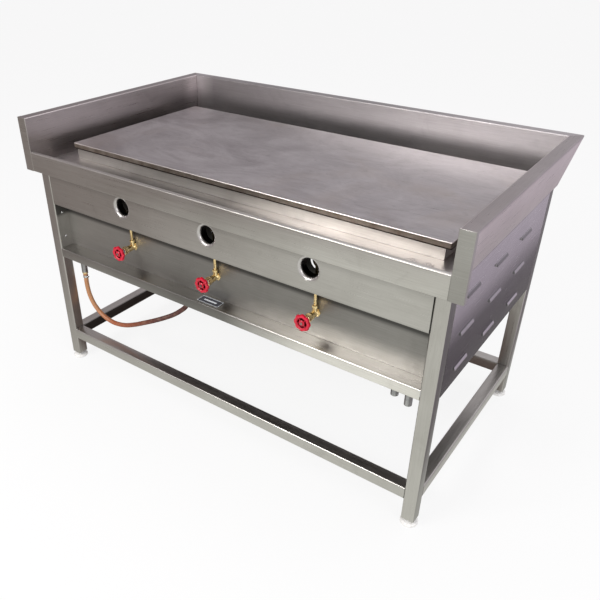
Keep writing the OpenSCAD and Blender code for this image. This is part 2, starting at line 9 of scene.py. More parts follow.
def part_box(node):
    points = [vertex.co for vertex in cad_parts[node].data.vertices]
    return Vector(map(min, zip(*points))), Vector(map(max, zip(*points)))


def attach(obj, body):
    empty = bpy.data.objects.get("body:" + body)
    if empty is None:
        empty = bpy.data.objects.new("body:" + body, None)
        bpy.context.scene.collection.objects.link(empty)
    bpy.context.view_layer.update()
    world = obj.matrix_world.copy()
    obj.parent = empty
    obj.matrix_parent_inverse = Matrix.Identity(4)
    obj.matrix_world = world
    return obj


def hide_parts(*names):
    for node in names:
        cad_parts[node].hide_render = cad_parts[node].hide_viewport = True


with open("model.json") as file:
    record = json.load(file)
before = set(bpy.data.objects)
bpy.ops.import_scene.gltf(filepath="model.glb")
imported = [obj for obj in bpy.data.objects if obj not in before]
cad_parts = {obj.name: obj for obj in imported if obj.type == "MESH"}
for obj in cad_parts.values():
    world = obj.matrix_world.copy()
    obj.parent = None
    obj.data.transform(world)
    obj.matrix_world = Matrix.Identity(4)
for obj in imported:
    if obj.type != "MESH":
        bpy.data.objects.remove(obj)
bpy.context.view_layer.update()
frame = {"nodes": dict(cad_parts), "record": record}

NODES = frame["nodes"]
MM = 0.001
SIDES = ("left", "centre", "right")
MAIN = "stand_and_body"


# ---------- camera ----------

CAMERA_AT = Vector((1.094, -1.620, 1.4315))
CAMERA_AZIMUTH = math.radians(36.4)
CAMERA_DOWN = math.radians(31.3)
LENS = 39.25
SHIFT = (0.0645, 0.0232)


def make_camera():
    data = bpy.data.cameras.new("camera")
    data.sensor_width = 36
    data.lens = LENS
    data.shift_x, data.shift_y = SHIFT
    camera = bpy.data.objects.new("camera", data)
    camera.location = CAMERA_AT
    camera.rotation_euler = (math.pi / 2 - CAMERA_DOWN, 0, CAMERA_AZIMUTH)
    bpy.context.scene.collection.objects.link(camera)
    bpy.context.scene.camera = camera


# ---------- mesh helpers ----------

SHARP_ANGLE = math.radians(35)
SOFT_EDGE = 0.6 * MM
SHEET = 1.5 * MM


def mesh_from(name, verts, faces, smooth=True):
    mesh = bpy.data.meshes.new(name)
    mesh.from_pydata([tuple(v) for v in verts], [], faces)
    bm = bmesh.new()
    bm.from_mesh(mesh)
    bmesh.ops.remove_doubles(bm, verts=bm.verts, dist=1e-6)
    bmesh.ops.recalc_face_normals(bm, faces=bm.faces)
    bm.to_mesh(mesh)
    bm.free()
    if smooth:
        mesh.shade_smooth()
    return mesh


def soften(obj, width):
    """Small rounded edges, so that folds and cut edges catch the light."""
    edge = obj.modifiers.new("edge", "BEVEL")
    edge.width = width
    edge.segments = 2
    edge.limit_method = "ANGLE"
    edge.angle_limit = SHARP_ANGLE


def piece(name, parts, slot, body=MAIN, replaces=(), material=None):
    """One finished piece from (verts, faces) parts: painted, riding on its CAD body."""
    verts, faces = [], []
    for part_verts, part_faces in parts:
        base = len(verts)
        verts += part_verts
        faces += [tuple(base + i for i in face) for face in part_faces]
    mesh = mesh_from(name, verts, faces)
    mesh.set_sharp_from_angle(angle=SHARP_ANGLE)
    mesh.materials.append(material or SLOT_PAINT[slot])
    obj = bpy.data.objects.new(name, mesh)
    bpy.context.scene.collection.objects.link(obj)
    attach(obj, body)
    if replaces:
        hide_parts(*replaces)
    return obj


def extrude(loop, place_start, place_end):
    """A closed 2D loop carried from one end to the other, with both ends closed."""
    n = len(loop)
    verts = [place_start(*p) for p in loop] + [place_end(*p) for p in loop]
    faces = [(i, (i + 1) % n, (i + 1) % n + n, i + n) for i in range(n)]
    return verts, faces + [tuple(range(n)), tuple(range(n, 2 * n))]


def rectangle(low, high, inset=0):
    """The corners of a box's plan, moved in by an inset."""
    x0, y0, x1, y1 = low.x + inset, low.y + inset, high.x - inset, high.y - inset
    return [(x0, y0), (x1, y0), (x1, y1), (x0, y1)]


def round_corner(a, b, c, radius, steps):
    """Arc points that round the corner b between a and c."""
    a, b, c = Vector(a), Vector(b), Vector(c)
    u, v = (a - b).normalized(), (c - b).normalized()
    half = math.acos(max(-1, min(1, u.dot(v)))) / 2
    if half < 0.05 or radius <= 0:
        return [b]
    reach = min(radius / math.tan(half), (a - b).length * 0.45, (c - b).length * 0.45)
    radius = reach * math.tan(half)
    centre = b + (u + v).normalized() * (radius / math.sin(half))
    first, last = b + u * reach - centre, b + v * reach - centre
    turn = first.angle_signed(last)
    return [centre + Matrix.Rotation(-turn * k / steps, 2) @ first for k in range(steps + 1)]


def rounded(points, radius, steps=4):
    """A closed 2D outline with every corner rounded."""
    out = []
    for i, p in enumerate(points):
        out += round_corner(points[i - 1], p, points[(i + 1) % len(points)], radius, steps)
    return out


def folded(points, radius, thickness, steps=4):
    """Cross-section of a folded sheet: the outer line, and the same line one thickness in.

    The inside of the sheet is on the left of the line's direction."""
    bends = len(points) - 2
    radii = radius if isinstance(radius, list) else [radius] * bends
    outer = [Vector(points[0])]
    for a, b, c, bend in zip(points, points[1:], points[2:], radii):
        outer += round_corner(a, b, c, bend, steps)
    outer.append(Vector(points[-1]))
    inner = []
    for i, p in enumerate(outer):
        before = (p - outer[i - 1]).normalized() if i else (outer[1] - p).normalized()
        after = (outer[i + 1] - p).normalized() if i < len(outer) - 1 else before
        along = (before + after).normalized()
        side = Vector((-along.y, along.x))
        inner.append(p + side * (thickness / max(0.5, side.dot(Vector((-after.y, after.x))))))
    return outer + inner[::-1]


def lathe(profile, origin, along, steps=32, lobes=None):
    """Surface of revolution about an axis: profile is (distance along, radius) points."""
    w = Vector(along).normalized()
    u = Vector((1, 0, 0)) if abs(w.y) > 0.9 else w.orthogonal().normalized()
    v = w.cross(u)
    origin = Vector(origin)
    verts, faces = [], []
    for d, r in profile:
        for k in range(steps):
            a = 2 * math.pi * k / steps
            grow = lobes(a) if lobes and r > 1e-6 else 1
            verts.append(origin + w * d + (u * math.cos(a) + v * math.sin(a)) * r * grow)
    for i in range(len(profile) - 1):
        for k in range(steps):
            m = (k + 1) % steps
            faces.append((i * steps + k, i * steps + m, (i + 1) * steps + m, (i + 1) * steps + k))
    faces.append(tuple(range(steps)))
    faces.append(tuple((len(profile) - 1) * steps + k for k in range(steps)))
    return verts, faces


def hexagon(origin, along, length, across, chamfer=0.8 * MM):
    """A hexagonal nut or collar with chamfered ends."""
    r = across / 2 / math.cos(math.pi / 6)
    return lathe([(0, r - chamfer), (chamfer * 0.6, r), (length - chamfer * 0.6, r),
                  (length, r - chamfer)], origin, along, 6)


def bar(origin, along, length, radius, soft=0.5 * MM, steps=24):
    """A round bar with softened ends."""
    return lathe([(0, radius - soft), (soft, radius), (length - soft, radius),
                  (length, radius - soft)], origin, along, steps)


def thread(origin, along, length, radius, pitch=1.5 * MM, depth=0.5 * MM, steps=20):
    """A threaded stretch, as close rings."""
    n = max(2, round(length / pitch))
    profile = [(0, radius - depth)]
    for i in range(n):
        profile += [((i + 0.5) * length / n, radius), ((i + 1) * length / n, radius - depth)]
    return lathe(profile, origin, along, steps)


def weld_bead(a, b, width, bulge=0.35):
    """A rippled weld bead along a straight seam."""
    a, b = Vector(a), Vector(b)
    along = (b - a).normalized()
    n = max(3, round((b - a).length / (width * 0.7)))
    profile = []
    rings = n * 4
    for i in range(rings + 1):
        t = i / rings
        ripple = 1 - 0.16 * abs(math.sin(math.pi * n * t))
        end = min(1, 0.45 + 6 * min(t, 1 - t))
        profile.append(((b - a).length * t, width * bulge * ripple * end))
    return lathe(profile, a, along, 10)


# ---------- gas hose ----------

HOSE_D = 16 * MM
HOSE_PATH = [
    (-640, -326, 344), (-640, -326, 322), (-640, -326, 297), (-634, -326, 259),
    (-614, -326, 221), (-577, -325, 191), (-526, -324, 178), (-470, -323, 186),
    (-417, -322, 207), (-366, -321, 233), (-320, -315, 256), (-284, -300, 273),
    (-255, -286, 289), (-233, -276, 306), (-217, -268, 322), (-208, -264, 339),
    (-205, -262, 356), (-205, -262, 368), (-205, -262, 380),
]


def smooth_route(points, steps):
    """Catmull-Rom points through a route, as the CAD sweeps it."""
    p = [Vector(q) * MM for q in points]
    out = []
    for i in range(len(p) - 1):
        a, b, c, d = p[max(0, i - 1)], p[i], p[i + 1], p[min(len(p) - 1, i + 2)]
        for k in range(steps):
            t = k / steps
            out.append(0.5 * (2 * b + (c - a) * t + (2 * a - 5 * b + 4 * c - d) * t * t
                              + (3 * b - a - 3 * c + d) * t ** 3))
    out.append(p[-1])
    return out


def make_hose(material, clamps):
    route = smooth_route(HOSE_PATH, 6)
    curve = bpy.data.curves.new("gas_hose_tube", "CURVE")
    curve.dimensions = "3D"
    curve.bevel_depth = HOSE_D / 2
    curve.bevel_resolution = 6
    curve.use_fill_caps = True
    spline = curve.splines.new("POLY")
    spline.points.add(len(route) - 1)
    for point, at in zip(spline.points, route):
        point.co = (*at, 1)
    spline.use_smooth = True
    hose = bpy.data.objects.new("gas_hose_tube", curve)
    bpy.context.scene.collection.objects.link(hose)
    curve.materials.append(material)
    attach(hose, MAIN)
    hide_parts("gas_hose")
    return hose


# ---------- materials ----------

class Paint:
    """One procedural material, in the row frame's coordinates."""

    def __init__(self, name, colour, roughness, metallic=0.0):
        self.material = bpy.data.materials.new(name)
        self.material.use_nodes = True
        self.tree = self.material.node_tree
        self.shader = self.tree.nodes["Principled BSDF"]
        self.shader.inputs["Metallic"].default_value = metallic
        self.shader.inputs["Roughness"].default_value = roughness
        self.shader.inputs["Base Color"].default_value = (*colour, 1)
        self.place = self.node("ShaderNodeTexCoord").outputs["Object"]

    def node(self, kind, **inputs):
        n = self.tree.nodes.new(kind)
        for key, value in inputs.items():
            self.put(n.inputs[key.replace("_", " ")], value)
        return n

    def put(self, socket, value):
        if isinstance(value, bpy.types.NodeSocket):
            self.tree.links.new(value, socket)
        else:
            socket.default_value = value

    def stretched(self, scale):
        return self.node("ShaderNodeMapping", Vector=self.place, Scale=scale).outputs[0]

    def noise(self, scale, detail=4.0, stretch=(1, 1, 1), roughness=0.55, distortion=0.0):
        n = self.node("ShaderNodeTexNoise", Vector=self.stretched(stretch), Scale=scale,
                      Detail=detail, Roughness=roughness, Distortion=distortion)
        return n.outputs["Fac"]

    def range(self, value, low, high, out_low, out_high):
        n = self.node("ShaderNodeMapRange")
        for i, x in enumerate((value, low, high, out_low, out_high)):
            self.put(n.inputs[i], x)
        return n.outputs[0]

    def math(self, how, a, b):
        n = self.tree.nodes.new("ShaderNodeMath")
        n.operation = how
        self.put(n.inputs[0], a)
        self.put(n.inputs[1], b)
        return n.outputs[0]

    def axis(self, letter):
        n = self.node("ShaderNodeSeparateXYZ", Vector=self.place)
        return n.outputs[letter.upper()]

    def mix(self, factor, a, b):
        n = self.tree.nodes.new("ShaderNodeMix")
        n.data_type = "RGBA"
        self.put(n.inputs[0], factor)
        for socket, value in ((n.inputs[6], a), (n.inputs[7], b)):
            self.put(socket, (*value, 1) if isinstance(value, tuple) else value)
        return n.outputs[2]

    def colour(self, value):
        self.put(self.shader.inputs["Base Color"], value)

    def rough(self, value):
        self.put(self.shader.inputs["Roughness"], value)

    def bump(self, height, strength, distance, under=None):
        n = self.node("ShaderNodeBump", Height=height, Strength=strength, Distance=distance)
        if under is not None:
            self.tree.links.new(under, n.inputs["Normal"])
        self.tree.links.new(n.outputs[0], self.shader.inputs["Normal"])
        return n.outputs[0]

    def times(self, colour, factor):
        """The colour darkened or lightened by a factor."""
        n = self.tree.nodes.new("ShaderNodeVectorMath")
        n.operation = "SCALE"
        self.put(n.inputs[0], colour)
        self.put(n.inputs["Scale"], factor)
        return n.outputs[0]

    def shade(self, colour, bands):
        """Painted light and shade by place: each band is (axis, from, to, factor at from, factor at
        to).
        """
        for axis, low, high, at_low, at_high in bands:
            colour = self.times(colour, self.range(self.axis(axis), low, high, at_low, at_high))
        return colour


BRUSH = {"x": (1, 60, 60), "y": (60, 1, 60), "z": (60, 60, 1)}


def steel(name, axis, light, dark, rough=(0.26, 0.40), wave=0.0007, bands=(), painted_shading=None):
    """Brushed stainless sheet: lines along one axis, cloudy handling marks, slight waviness."""
    p = Paint(name, light, rough[0], metallic=1.0)
    lines = p.noise(9, 3, BRUSH[axis], 0.6)
    cloud = p.noise(3.2, 5, (1, 1, 1), 0.62, 0.6)
    marks = p.math("ADD", p.math("MULTIPLY", lines, 0.45), p.math("MULTIPLY", cloud, 0.55))
    colour = p.mix(p.range(marks, 0.36, 0.64, 0, 1), dark, light)
    smear = p.range(p.noise(11, 6, (1, 1, 1), 0.7, 1.2), 0.56, 0.74, 0, 0.22)
    colour = p.mix(smear, colour, tuple(c * 0.6 for c in dark))
    # Painted light and shade by place on the object, from the bands and the optional function of
    # the position.
    colour = p.shade(colour, bands)
    p.colour(p.times(colour, painted_shading(p)) if painted_shading else colour)
    p.rough(p.range(p.noise(7, 4, BRUSH[axis], 0.6), 0.3, 0.7, *rough))
    dents = p.bump(p.noise(2.6, 2), 0.6, wave)
    p.bump(lines, 0.12, 0.0002, dents)
    return p.material


def plain_metal(name, light, dark, rough, scale=40, bands=()):
    p = Paint(name, light, rough[0], metallic=1.0)
    cloud = p.noise(scale, 4)
    # Optional bands paint light and shade by place.
    p.colour(p.shade(p.mix(p.range(cloud, 0.35, 0.65, 0, 1), dark, light), bands))
    p.rough(p.range(p.noise(scale * 2, 3), 0.3, 0.7, *rough))
    p.bump(p.noise(scale * 6, 3), 0.15, 0.0003)
    return p.material


def plastic(name, light, dark, rough, scale=60, bump=0.0002):
    p = Paint(name, light, rough[0])
    p.colour(p.mix(p.range(p.noise(scale, 4), 0.35, 0.65, 0, 1), dark, light))
    p.rough(p.range(p.noise(scale * 2, 3), 0.3, 0.7, *rough))
    p.bump(p.noise(scale * 8, 2), 0.2, bump)
    return p.material


def plate_steel():
    """Ground plate steel: grinding lines, cloudy seasoning, a painted highlight on the top arris,
    and a brownish cut edge with painted light along it and painted shade at its foot.
    """
    p = Paint("plate_steel", (0.43, 0.41, 0.42), 0.36, metallic=1.0)
    lines = p.noise(14, 4, (1, 45, 45), 0.65)
    cloud = p.noise(4.5, 7, (0.7, 1, 1), 0.68, 1.6)
    fine = p.noise(26, 5, (1, 2.4, 1), 0.7, 0.8)
    colour = p.mix(p.range(cloud, 0.34, 0.66, 0, 1), (0.31, 0.285, 0.295), (0.50, 0.475, 0.485))
    colour = p.mix(p.range(lines, 0.40, 0.72, 0, 0.5), colour, (0.62, 0.61, 0.61))
    colour = p.mix(p.range(fine, 0.55, 0.75, 0, 0.5), colour, (0.25, 0.235, 0.24))
    brown = p.range(p.noise(3, 5, (1, 1, 1), 0.6, 1.0), 0.52, 0.72, 0, 0.5)
    colour = p.mix(brown, colour, (0.40, 0.34, 0.30))
    top, foot = PLATE_HIGH.z, PLATE_LOW.z
    z = p.axis("z")
    below_top = p.range(z, top - 0.003, top - 0.001, 1, 0)
    edge = p.mix(p.range(p.noise(30, 4), 0.35, 0.65, 0, 1), (0.40, 0.33, 0.27),
                 (0.60, 0.54, 0.47))
    # Painted light: the cut edge lighter at the left end and darker at the right.
    edge = p.times(edge, p.range(p.axis("x"), -0.6, 0.5, 1.25, 0.8))
    # Painted shade: the cut edge goes near-black at its foot.
    body = p.times(p.mix(below_top, colour, edge), p.range(z, foot + 0.003, foot + 0.005, 0.12, 1))
    # Painted highlight: a pale band just under the top face, along the arris.
    arris = p.math("MULTIPLY", p.range(z, top - 0.0022, top - 0.0012, 0, 1),
                   p.range(z, top - 0.0003, top - 0.0001, 1, 0))
    p.colour(p.mix(arris, body, (0.82, 0.78, 0.74)))
    p.rough(p.range(p.math("ADD", lines, p.math("MULTIPLY", cloud, 0.6)), 0.5, 1.1, 0.27, 0.46))
    waves = p.bump(p.noise(5, 3), 0.5, 0.0006)
    p.bump(p.math("ADD", lines, p.math("MULTIPLY", fine, 0.4)), 0.25, 0.0003, waves)
    return p.material


def cast_iron():
    p = Paint("burner_iron", (0.1, 0.095, 0.09), 0.6, metallic=0.7)
    grain = p.noise(140, 5)
    rust = p.range(p.noise(14, 6), 0.55, 0.75, 0, 0.6)
    dark = p.mix(p.range(grain, 0.35, 0.65, 0, 1), (0.035, 0.032, 0.03), (0.11, 0.10, 0.095))
    p.colour(p.mix(rust, dark, (0.16, 0.07, 0.035)))
    p.rough(p.range(grain, 0.3, 0.7, 0.5, 0.75))
    p.bump(grain, 0.6, 0.0012)
    return p.material


def hose_rubber():
    """Rubber gas hose: dusty tan at the drop pipe, orange-brown, then painted shade darkening it at
    the far end.
    """
    p = Paint("hose_rubber", (0.3, 0.12, 0.05), 0.5)
    along = p.range(p.axis("x"), -0.62, -0.27, 0, 1)
    near = p.mix(p.range(along, 0.0, 0.3, 0, 1), (0.46, 0.215, 0.095), (0.35, 0.095, 0.035))
    # Painted shade: the far end goes dark.
    colour = p.mix(p.range(along, 0.3, 0.9, 0, 1), near, (0.075, 0.02, 0.015))
    dust = p.range(p.noise(90, 5), 0.45, 0.75, 0, 0.3)
    p.colour(p.mix(dust, colour, (0.40, 0.26, 0.17)))
    p.rough(p.range(p.noise(120, 3), 0.3, 0.7, 0.38, 0.58))
    p.bump(p.noise(260, 3), 0.25, 0.0004)
    return p.material


def foot_nylon():
    """White nylon pad, with the steel stud above it."""
    p = Paint("white_nylon", (0.84, 0.84, 0.82), 0.45)
    stud = p.range(p.axis("z"), 0.0222, 0.0226, 0, 1)
    scuff = p.range(p.noise(120, 5), 0.4, 0.7, 0, 0.5)
    pad = p.mix(scuff, (0.86, 0.86, 0.84), (0.62, 0.60, 0.56))
    p.colour(p.mix(stud, pad, (0.45, 0.45, 0.46)))
    p.rough(p.range(p.noise(200, 3), 0.3, 0.7, 0.38, 0.55))
    p.bump(p.noise(500, 2), 0.2, 0.0002)
    return p.material


INOX, INOX_DARK = (0.56, 0.545, 0.52), (0.45, 0.435, 0.41)
PLATE_LOW, PLATE_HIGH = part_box("griddle_plate")

SLOT_PAINT = {
    "stainless": steel("stainless", "x", INOX, INOX_DARK),
    "dull_stainless": steel("dull_stainless", "x", (0.36, 0.34, 0.33), (0.26, 0.24, 0.235),
                            (0.38, 0.52)),
    "plate_steel": plate_steel(),
    # Painted shade: the brass goes near-black above z 0.60, inside the body behind the sight holes.
    "brass": plain_metal("brass", (0.98, 0.78, 0.42), (0.80, 0.58, 0.28), (0.16, 0.32),
                         bands=[("z", 0.600, 0.625, 1.0, 0.06)]),
    "chrome": plain_metal("chrome", (0.80, 0.80, 0.81), (0.62, 0.62, 0.63), (0.10, 0.24)),
    "red_plastic": plastic("red_plastic", (0.62, 0.006, 0.035), (0.42, 0.004, 0.02),
                           (0.22, 0.38)),
    "burner_iron": cast_iron(),
    "galvanised": plain_metal("galvanised", (0.50, 0.50, 0.50), (0.34, 0.34, 0.35),
                              (0.32, 0.48)),
    "white_nylon": foot_nylon(),
    "black_plastic": plastic("black_plastic", (0.02, 0.02, 0.022), (0.012, 0.012, 0.013),
                             (0.4, 0.55)),
    "label": plastic("label", (0.022, 0.026, 0.045), (0.014, 0.016, 0.026), (0.22, 0.34)),
    "hose_rubber": hose_rubber(),
}

# The same steel with its own grain direction, and with painted light and shade by its place on the
# object.
UPRIGHT = steel("stainless_upright", "z", INOX, INOX_DARK)
DEEP = steel("stainless_deep", "y", INOX, INOX_DARK)
# Painted shadow below the apron's lower edge, and painted shade along the sight panel's bottom
# edge.
SIGHT_PANEL = steel("stainless_sight", "x", INOX, INOX_DARK,
                    bands=[("z", 0.700, 0.731, 1.0, 0.72), ("z", 0.621, 0.627, 0.85, 1.0)])
# Painted shadow just below the sight panel's edge, and painted shade that darkens the whole panel,
# least at its left end.
VALVE_PANEL = steel("stainless_valve", "x", INOX, INOX_DARK, (0.42, 0.52),
                    bands=[("z", 0.570, 0.582, 1.0, 0.32), ("x", -0.60, -0.15, 0.85, 0.55)])


def side_panel_painted_light(sign):
    """Side panel painted light and shade: the flat sheet dark low down with paler louvre lips, the
    other way round near the top.
    """
    face = sign * (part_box("side_panel_right")[1].x - 0.0042)
    lip_face = sign * (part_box("side_panel_right")[1].x - 0.0026)

    def painted_shading(p):
        raised = p.range(p.axis("x"), face, lip_face, 0, 1)
        height = p.axis("z")
        flat = p.math("MULTIPLY", p.range(height, 0.56, 0.65, 0.24, 0.92),
                      p.math("SUBTRACT", 1, raised))
        lip = p.math("MULTIPLY", p.range(height, 0.56, 0.65, 1.0, 0.40), raised)
        return p.math("ADD", flat, lip)

    return painted_shading


def outer_face_painted_shade(p):
    """Painted shade on the outer face of the right legs, darker towards the body."""
    dim = p.range(p.axis("z"), 0.25, 0.58, 0.62, 0.28)
    outer = p.range(p.axis("x"), 0.6990, 0.6994, 0, 1)
    return p.math("ADD", p.math("MULTIPLY", dim, outer), p.math("SUBTRACT", 1, outer))


def splash_wall_painted_shade(p):
    """Splash wall: painted shade darkens the inner face towards the tray, painted light brightens
    it at the rear end, and painted light brightens the outer skirt, with painted shade along its
    top.
    """
    skirt = p.range(p.math("ABSOLUTE", p.axis("x"), 0), 0.7018, 0.7022, 0, 1)
    inside = p.math("MULTIPLY", p.range(p.axis("z"), 0.775, 0.865, 0.40, 1.0),
                    p.range(p.axis("y"), 0.30, 0.35, 1.0, 1.35))
    return p.math("MAXIMUM", p.math("MULTIPLY", inside, p.math("SUBTRACT", 1, skirt)),
                  p.math("MULTIPLY", skirt, p.range(p.axis("z"), 0.885, 0.897, 1.25, 0.72)))


def left_stretcher_dim(p):
    """The left stretcher's inner face is in deep shade."""
    inner = p.range(p.axis("x"), -0.6630, -0.6622, 0, 1)
    return p.math("SUBTRACT", 1, p.math("MULTIPLY", inner, 0.80))


WALL_SIDE = steel("stainless_side_wall", "y", (0.56, 0.51, 0.51), (0.45, 0.405, 0.405),
                  painted_shading=splash_wall_painted_shade)
SIDE_SHEETS = [
    steel(f"stainless_side_{name}", "y", (0.54, 0.515, 0.545), (0.44, 0.41, 0.445),
          (0.16, 0.28), 0.0016, painted_shading=side_panel_painted_light(sign))
    for name, sign in (("left", -1), ("right", 1))
]
# Painted shade darkens the ledge, most from the middle on, and a painted highlight brightens its
# right part.
LEDGE = steel("stainless_ledge", "x", INOX, INOX_DARK,
              bands=[("x", -0.45, -0.1, 0.70, 0.43), ("x", 0.05, 0.33, 1.0, 3.6)])
# Painted light on the plate frame: lighter at the left, darker at the right.
FRAME_STEEL = steel("stainless_frame", "x", INOX, INOX_DARK, (0.34, 0.48),
                    bands=[("x", -0.30, 0.30, 1.35, 0.80)])
# Painted light: the apron a little lighter to the right, and painted shade on its right end from x
# 0.698 outwards.
APRON = steel("stainless_apron", "x", INOX, INOX_DARK,
              bands=[("x", 0.05, 0.4, 1.0, 1.12), ("x", 0.6972, 0.6982, 1.0, 0.66)])
LEFT_STRETCHER = steel("stainless_left_stretcher", "y", INOX, INOX_DARK,
                       painted_shading=left_stretcher_dim)
LEG_RIGHT = steel("stainless_leg_right", "z", INOX, INOX_DARK, painted_shading=outer_face_painted_shade)
# Painted shade: the sight collars go near-black inside the bore.
COLLAR = steel("stainless_collar", "y", (0.62, 0.60, 0.59), (0.48, 0.46, 0.45), (0.26, 0.38),
               bands=[("y", -0.386, -0.379, 1.0, 0.05)])
# Painted shade darkens the rear wall low down by the tray and from the middle leftwards; painted
# light brightens its far left end.
WALL_REAR = steel("stainless_rear_wall", "x", (0.50, 0.475, 0.48), (0.41, 0.385, 0.39),
                  (0.34, 0.46),
                  bands=[("z", 0.815, 0.852, 0.78, 1.0), ("x", 0.05, 0.45, 0.74, 1.05),
                         ("x", -0.67, -0.61, 1.45, 1.0)])
# Painted shade darkens the tray towards the rear and from the left towards the middle; a painted
# highlight brightens its right part.
TRAY = steel("dull_stainless_tray", "x", (0.50, 0.47, 0.46), (0.37, 0.34, 0.33), (0.3, 0.46),
             bands=[("y", -0.29, -0.15, 1.0, 0.55), ("x", -0.65, -0.35, 1.2, 0.42),
                    ("x", 0.0, 0.33, 1.0, 4.0)])
# The spindle ends are painted dark red: painted shade in the wheel's hub, with a painted red
# reflection of the wheel.
SPINDLE_PAINTED_SHADE = plain_metal("spindle_steel_painted_shade", (0.36, 0.26, 0.25), (0.20, 0.13, 0.13),
                            (0.25, 0.4))
# The air shutters are painted near-black: painted shade inside the body, behind the sight holes.
SHUTTER_PAINTED_SHADE = plain_metal("zinc_in_painted_shade", (0.14, 0.13, 0.125), (0.07, 0.065, 0.06), (0.45, 0.6))
PALE_PRINT = plastic("pale_print", (0.72, 0.76, 0.80), (0.60, 0.64, 0.68), (0.25, 0.4))

CAD_PAINT = {
    "leg_plugs": SLOT_PAINT["black_plastic"],
    "sight_panel": SIGHT_PANEL,
    "valve_panel": VALVE_PANEL,
    "side_panel_left": SIDE_SHEETS[0],
    "side_panel_right": SIDE_SHEETS[1],
    "sight_collars": COLLAR,
    "plate_frame": FRAME_STEEL,
    "drain_strainers": TRAY,
    **{f"shutter_{side}": SHUTTER_PAINTED_SHADE for side in SIDES},
    # The gas jets are painted near-black: painted shade inside the body, behind the sight holes.
    "gas_jets": plain_metal("brass_in_painted_shade", (0.10, 0.07, 0.035), (0.05, 0.035, 0.02),
                            (0.45, 0.6)),
    "tray_floor": TRAY,
    "body_rail_left": DEEP,
    "body_rail_right": DEEP,
    "top_rails": DEEP,
}


def paint_cad():
    """Every CAD node gets its slot's material, or the variant for its place."""
    for part in frame["record"]["subparts"]:
        mesh = NODES[part["node"]].data
        mesh.materials.clear()
        mesh.materials.append(CAD_PAINT.get(part["node"], SLOT_PAINT[part["material_slot"]]))


def soften_cad():
    for obj in NODES.values():
        weld = obj.modifiers.new("weld", "WELD")
        weld.merge_threshold = 1e-5
        soften(obj, SOFT_EDGE)


# ---------- stand ----------

TUBE_RADIUS = 4 * MM


def tube_piece(node, axis):
    """A square tube with rounded corners, in the place of a CAD tube."""
    low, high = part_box(node)
    a, b = [i for i in range(3) if i != axis]
    loop = rounded([(low[a], low[b]), (high[a], low[b]), (high[a], high[b]), (low[a], high[b])],
                   TUBE_RADIUS, 5)

    def at(value):
        def place(p, q):
            point = [0, 0, 0]
            point[axis], point[a], point[b] = value, p, q
            return tuple(point)
        return place

    material = (SLOT_PAINT["stainless"], DEEP, UPRIGHT)[axis]
    if axis == 2 and low.x > 0:
        material = LEG_RIGHT
    if node == "stretcher_left":
        material = LEFT_STRETCHER
    piece(node + "_tube", [extrude(loop, at(low[axis]), at(high[axis]))], "stainless",
          replaces=[node], material=material)


def make_stand():
    for name in ("front_left", "front_right", "rear_left", "rear_right"):
        tube_piece("leg_" + name, 2)
    tube_piece("stretcher_front", 0)
    tube_piece("stretcher_rear", 0)
    tube_piece("stretcher_left", 1)
    tube_piece("stretcher_right", 1)


def make_welds():
    """Fillet beads where the stretchers meet the legs."""
    beads = []
    width, in_side, in_end = 5 * MM, 4 * MM, 3 * MM
    for name, axis in (("front", 0), ("rear", 0), ("left", 1), ("right", 1)):
        low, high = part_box("stretcher_" + name)
        across = 1 - axis
        sides = (low[across] + in_side, high[across] - in_side)
        bottom, top = low.z + in_end, high.z - in_end

        def at(end, side, z):
            return (end, side, z) if axis == 0 else (side, end, z)

        for end in (low[axis], high[axis]):
            for side in sides:
                beads.append(weld_bead(at(end, side, bottom), at(end, side, top), width))
            beads.append(weld_bead(at(end, sides[0], high.z), at(end, sides[1], high.z), width))
    piece("stretcher_weld_beads", beads, "dull_stainless")


# ---------- folded sheets ----------

FOLD = 3 * MM
LEDGE_LIP = 14 * MM
RIM_RISE = 38 * MM
RIM_DEPTH = 12 * MM
APRON_UNDER = 27 * MM
TAB_DEPTH = 14 * MM
SKIRT_OUT = 3 * MM
MITRE_GAP = 0.3 * MM


def along_x(loop, x0, x1):
    return extrude(loop, lambda y, z: (x0, y, z), lambda y, z: (x1, y, z))


def make_ledge():
    low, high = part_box("ledge_rail")
    loop = folded([(low.y + LEDGE_LIP, low.z), (low.y, low.z), (low.y, high.z), (high.y, high.z),
                   (high.y, low.z)], [FOLD, FOLD, 0], -SHEET)
    piece("ledge_sheet", [along_x(loop, low.x, high.x)], "stainless", replaces=["ledge_rail"],
          material=LEDGE)


def make_apron():
    low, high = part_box("apron")
    tray_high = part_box("tray_floor")[1]
    rim_z, wall_x = tray_high.z + RIM_RISE, tray_high.x
    under = low.y + APRON_UNDER
    middle = folded([(under, low.z), (low.y, low.z), (low.y, rim_z), (low.y + RIM_DEPTH, rim_z)],
                    FOLD, -SHEET)
    parts = [along_x(middle, -wall_x, wall_x)]
    for s in (-1, 1):
        plan = folded([(s * wall_x, low.y), (s * high.x, low.y), (s * high.x, low.y + TAB_DEPTH)],
                      FOLD, s * SHEET)
        parts.append(extrude(plan, lambda x, y: (x, y, low.z), lambda x, y: (x, y, high.z)))
        foot = folded([(under, low.z), (low.y + 2 * SHEET, low.z)], 0, -SHEET)
        parts.append(along_x(foot, s * wall_x, s * (high.x - 2 * SHEET)))
    obj = piece("apron_sheet", parts, "stainless", replaces=["apron"], material=APRON)
    soften(obj, SOFT_EDGE)


